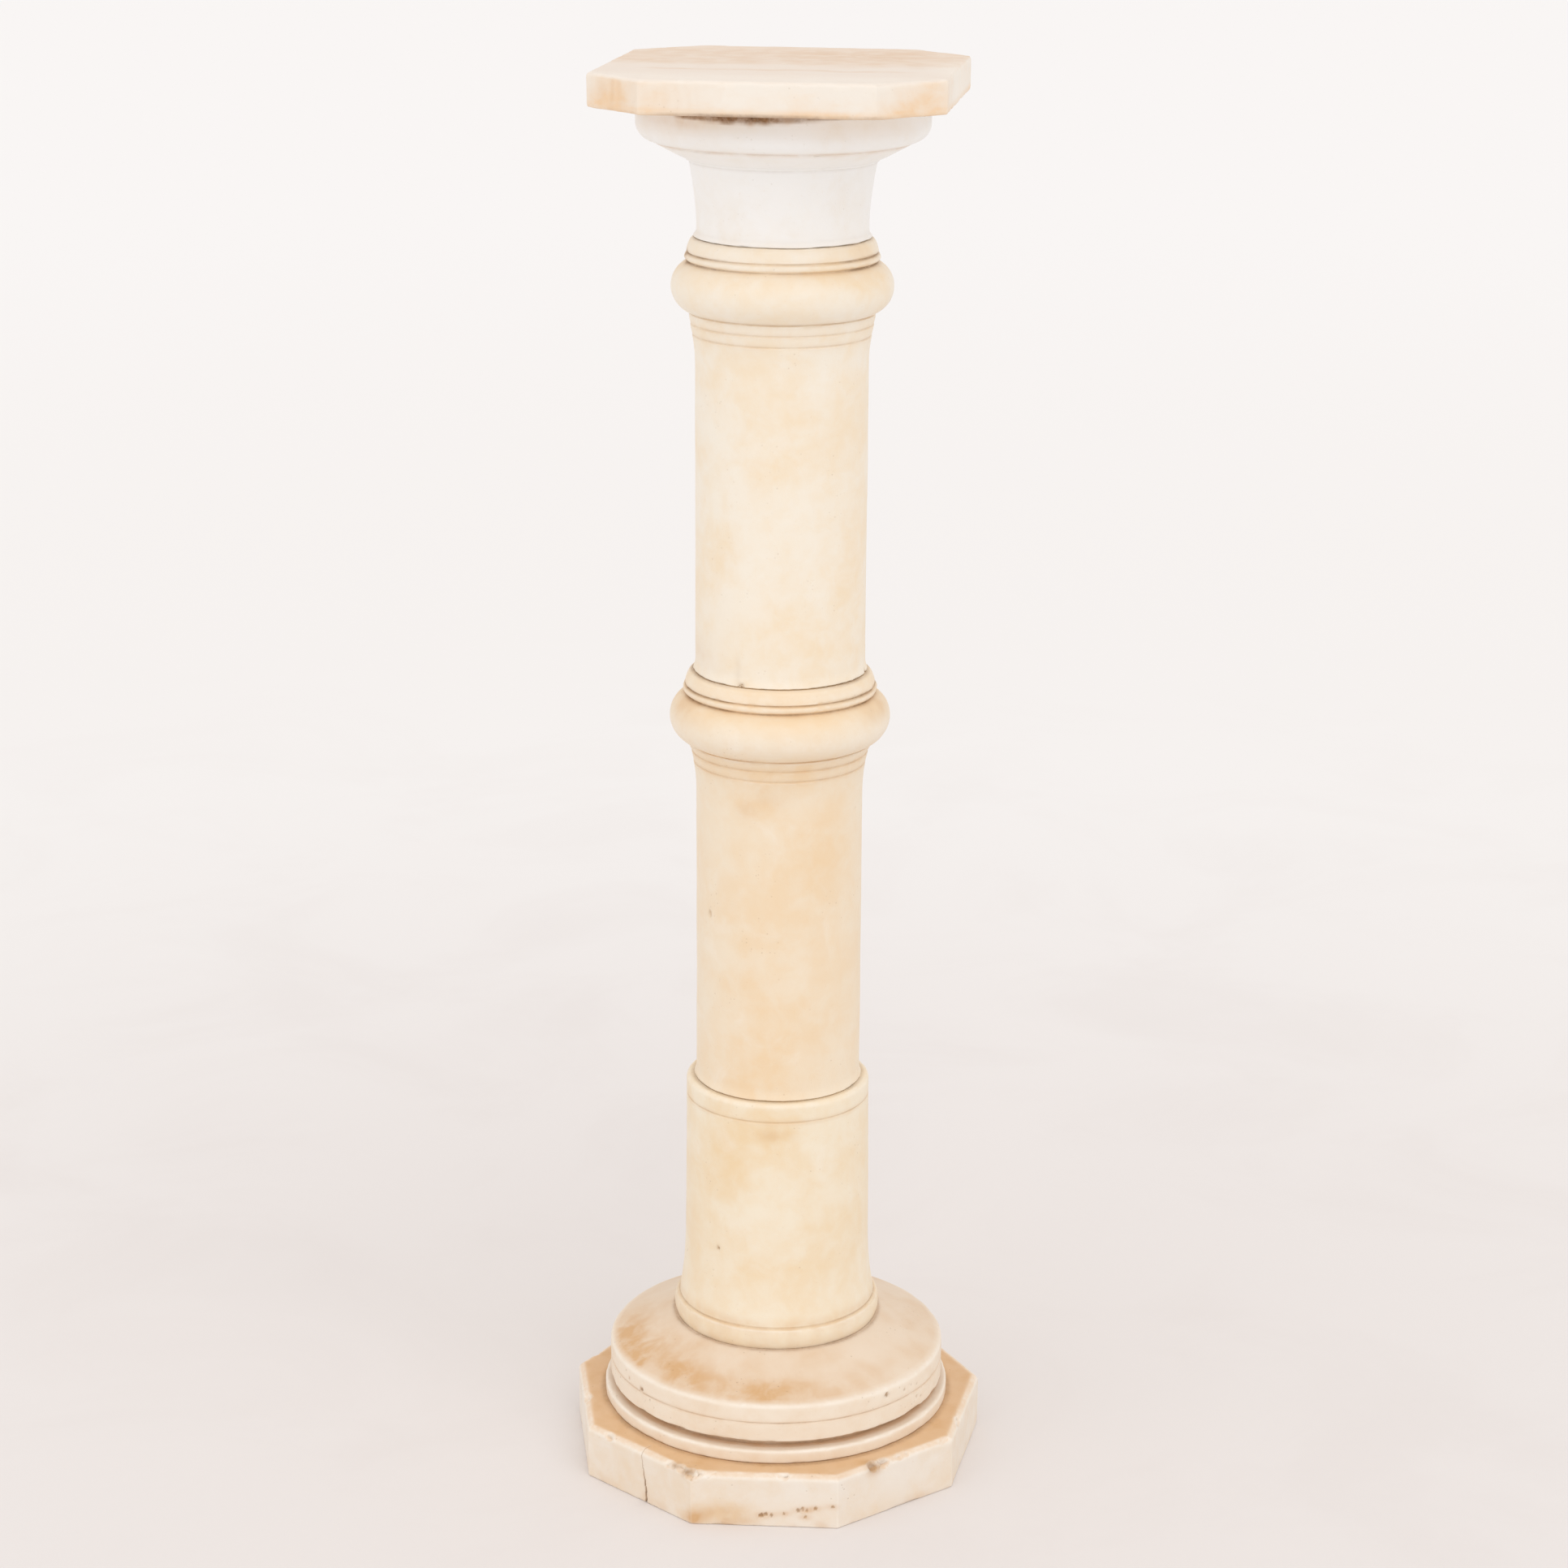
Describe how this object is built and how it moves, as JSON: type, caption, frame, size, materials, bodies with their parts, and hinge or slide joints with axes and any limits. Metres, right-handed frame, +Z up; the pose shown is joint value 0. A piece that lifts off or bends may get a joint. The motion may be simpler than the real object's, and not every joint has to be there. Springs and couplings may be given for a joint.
{
  "type": "pedestal column",
  "caption": "Turned stone pedestal column with a faceted plinth, round base, knopped shaft, flared capital and a flat slab for carrying a vase or bust.",
  "frame": {"origin": "centre of the plinth's underside, on the column's axis", "axes": "+Z up the column, +X to the right and +Y to the back of the front face"},
  "size_m": [0.298, 0.2963, 1],
  "materials": {
    "plinth_stone": "worn, stained",
    "base_stone": "satin, browned on top",
    "lower_stone": "satin polish",
    "middle_stone": "satin polish",
    "upper_stone": "satin polish",
    "capital_stone": "satin polish",
    "slab_stone": "satin polish"
  },
  "bodies": {
    "root": {"plinth": "plinth_stone", "turned_base": "base_stone", "lower_shaft": "lower_stone", "middle_shaft": "middle_stone", "upper_shaft": "upper_stone", "capital": "capital_stone", "top_slab": "slab_stone"}
  },
  "joints": []
}
